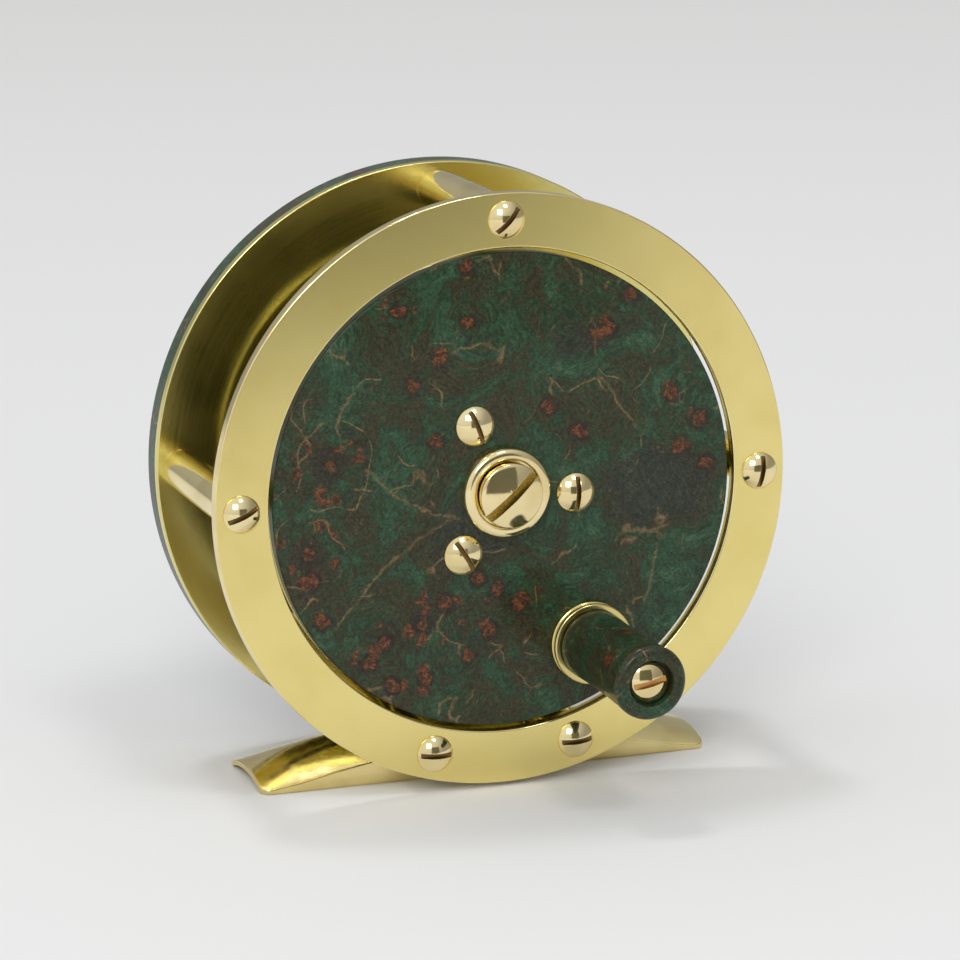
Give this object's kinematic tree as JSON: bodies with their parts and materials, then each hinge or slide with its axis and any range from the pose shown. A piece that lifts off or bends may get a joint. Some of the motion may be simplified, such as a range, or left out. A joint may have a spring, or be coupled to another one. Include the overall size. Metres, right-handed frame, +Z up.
{
  "type": "fly reel",
  "caption": "Small fly reel with a pillared brass frame, burl-faced spool, turning knob, click check and a curved foot that seats on a rod.",
  "frame": {"origin": "centre of the foot's underside, midway between the ring and the back plate, on the plane the reel stands on", "axes": "+Z up through the frame, the reel's axis along Y with the handle side towards -Y, the foot's length along X"},
  "size_m": [0.0762, 0.0529, 0.0767],
  "materials": {
    "satin_brass": "satin, fine brush marks",
    "polished_brass": "polished",
    "bronze": "machined bearing bronze",
    "steel": "ground and hardened",
    "burl": "green-dyed stabilised burl, glossy lacquer"
  },
  "bodies": {
    "frame": {"front_ring": "satin_brass", "back_plate": "satin_brass", "back_cover": "burl", "pillar_top": "polished_brass", "pillar_left": "polished_brass", "pillar_right": "polished_brass", "pillar_lower_left": "polished_brass", "pillar_lower_right": "polished_brass", "front_screws": "polished_brass", "rear_screws": "polished_brass", "foot": "polished_brass", "foot_screws": "polished_brass", "spindle": "steel", "spindle_nut": "polished_brass", "retaining_screw": "polished_brass", "thrust_washer": "steel", "pawl_post": "steel", "spring_post": "steel", "click_spring": "steel"},
    "spool": {"spool_face": "burl", "front_flange": "satin_brass", "spool_core": "satin_brass", "rear_flange": "satin_brass", "rear_flange_screws": "steel", "face_screws": "polished_brass", "front_bush": "bronze", "rear_bush": "bronze", "boss_collar": "polished_brass", "ratchet_wheel": "steel", "handle_collar": "polished_brass", "handle_post": "steel", "knob_screw": "polished_brass"},
    "knob": {"knob": "burl", "knob_bush": "bronze"},
    "pawl": {"click_pawl": "steel"}
  },
  "joints": [
    {"name": "spool_spin", "type": "hinge", "parent": "frame", "child": "spool", "pos_m": [0, 0, 0.03865], "axis": [0, -1, 0], "continuous": true},
    {"name": "knob_spin", "type": "hinge", "parent": "spool", "child": "knob", "pos_m": [0.01158, -0.0252, 0.01802], "axis": [0, -1, 0], "continuous": true},
    {"name": "pawl_lift", "type": "hinge", "parent": "frame", "child": "pawl", "pos_m": [-0.007, 0.0101, 0.04885], "axis": [0, -1, 0], "range_deg": [0, 11], "stiffness_Nm_per_rad": 0.02, "springref_deg": -17.19, "deforming": ["click_spring"]}
  ]
}
